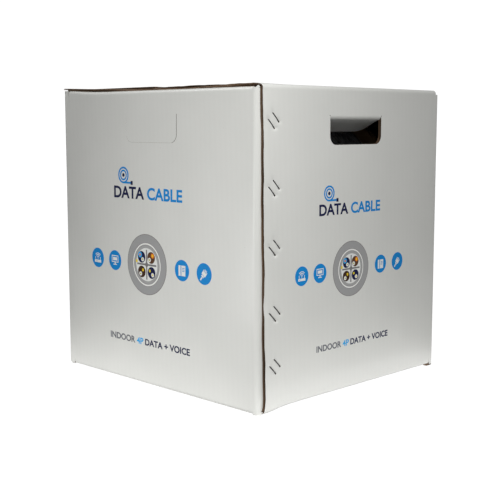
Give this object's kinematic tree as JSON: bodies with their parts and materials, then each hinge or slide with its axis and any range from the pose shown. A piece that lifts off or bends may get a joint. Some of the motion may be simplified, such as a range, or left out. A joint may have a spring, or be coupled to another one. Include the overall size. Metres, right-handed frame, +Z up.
{
  "type": "cable spool box",
  "caption": "Closed corrugated carton with hand holes and folding top flaps, holding a reel of data cable that turns on a tube axle inside.",
  "frame": {"origin": "centre of the base, on the surface that the carton stands on", "axes": "+Z up, the front wall faces -Y and the right wall, whose hand flap is pushed in, faces +X; the reel's axle is along Y"},
  "size_m": [0.35, 0.316, 0.35],
  "materials": {
    "white_board": "clay-coated white liner with a soft gloss, brown kraft at the cut edges and inside",
    "kraft_board": "matte brown kraft liner",
    "tube_board": "spiral-wound paper tube, matte",
    "plywood": "raw sanded plywood",
    "cable_jacket": "grey extruded cable jacket, satin",
    "stitch_wire": "galvanised stitching wire",
    "zinc_steel": "bright zinc plated",
    "tape": "thin translucent packing tape"
  },
  "bodies": {
    "carton": {"front_wall": "white_board", "right_wall": "white_board", "back_wall": "white_board", "left_wall": "white_board", "stitch_tab": "white_board", "bottom_flap_front": "white_board", "bottom_flap_back": "white_board", "bottom_flap_right": "white_board", "bottom_flap_left": "white_board", "stitch_1_upper": "stitch_wire", "stitch_1_lower": "stitch_wire", "stitch_2_upper": "stitch_wire", "stitch_2_lower": "stitch_wire", "stitch_3_upper": "stitch_wire", "stitch_3_lower": "stitch_wire", "stitch_4_upper": "stitch_wire", "stitch_4_lower": "stitch_wire", "stitch_5_upper": "stitch_wire", "stitch_5_lower": "stitch_wire", "axle_support_front": "kraft_board", "axle_support_back": "kraft_board", "axle_tube": "tube_board"},
    "reel": {"reel_flange_front": "plywood", "reel_flange_back": "plywood", "reel_core": "tube_board", "cable_winding": "cable_jacket", "tie_bolt_1": "zinc_steel", "tie_washer_1": "zinc_steel", "tie_nut_1": "zinc_steel", "tie_bolt_2": "zinc_steel", "tie_washer_2": "zinc_steel", "tie_nut_2": "zinc_steel", "tie_bolt_3": "zinc_steel", "tie_washer_3": "zinc_steel", "tie_nut_3": "zinc_steel", "cable_last_turn": "cable_jacket", "end_tape": "tape"},
    "top_flap_right": {"top_flap_right": "white_board"},
    "top_flap_left": {"top_flap_left": "white_board"},
    "top_flap_front": {"top_flap_front": "white_board"},
    "top_flap_back": {"top_flap_back": "white_board"},
    "hand_flap_front": {"hand_flap_front": "white_board"},
    "hand_flap_right": {"hand_flap_right": "white_board"},
    "hand_flap_back": {"hand_flap_back": "white_board"},
    "hand_flap_left": {"hand_flap_left": "white_board"}
  },
  "joints": [
    {"name": "reel_spin", "type": "hinge", "parent": "carton", "child": "reel", "pos_m": [0, 0, 0.175], "axis": [0, 1, 0], "continuous": true},
    {"name": "top_flap_right_fold", "type": "hinge", "parent": "carton", "child": "top_flap_right", "pos_m": [0.173, 0, 0.348], "axis": [0, 1, 0], "range_deg": [0, 175]},
    {"name": "top_flap_left_fold", "type": "hinge", "parent": "carton", "child": "top_flap_left", "pos_m": [-0.173, 0, 0.348], "axis": [0, -1, 0], "range_deg": [0, 175]},
    {"name": "top_flap_front_fold", "type": "hinge", "parent": "carton", "child": "top_flap_front", "pos_m": [0, -0.156, 0.3437], "axis": [1, 0, 0], "range_deg": [0, 97]},
    {"name": "top_flap_back_fold", "type": "hinge", "parent": "carton", "child": "top_flap_back", "pos_m": [0, 0.156, 0.3437], "axis": [-1, 0, 0], "range_deg": [0, 97]},
    {"name": "hand_flap_front_fold", "type": "hinge", "parent": "carton", "child": "hand_flap_front", "pos_m": [-0.0017, -0.154, 0.3201], "axis": [1, 0, 0], "range_deg": [0, 110]},
    {"name": "hand_flap_right_fold", "type": "hinge", "parent": "carton", "child": "hand_flap_right", "pos_m": [0.171, -0.0038, 0.3183], "axis": [0, 1, 0], "range_deg": [-60, 50]},
    {"name": "hand_flap_back_fold", "type": "hinge", "parent": "carton", "child": "hand_flap_back", "pos_m": [0.0017, 0.154, 0.3201], "axis": [-1, 0, 0], "range_deg": [0, 110]},
    {"name": "hand_flap_left_fold", "type": "hinge", "parent": "carton", "child": "hand_flap_left", "pos_m": [-0.171, 0.0038, 0.3183], "axis": [0, -1, 0], "range_deg": [0, 110]}
  ],
  "couplings": [
    {"joint": "top_flap_left_fold", "follows": "top_flap_right_fold", "ratio": 1},
    {"joint": "top_flap_front_fold", "follows": "top_flap_right_fold", "ratio": 0.55},
    {"joint": "top_flap_back_fold", "follows": "top_flap_right_fold", "ratio": 0.55}
  ]
}
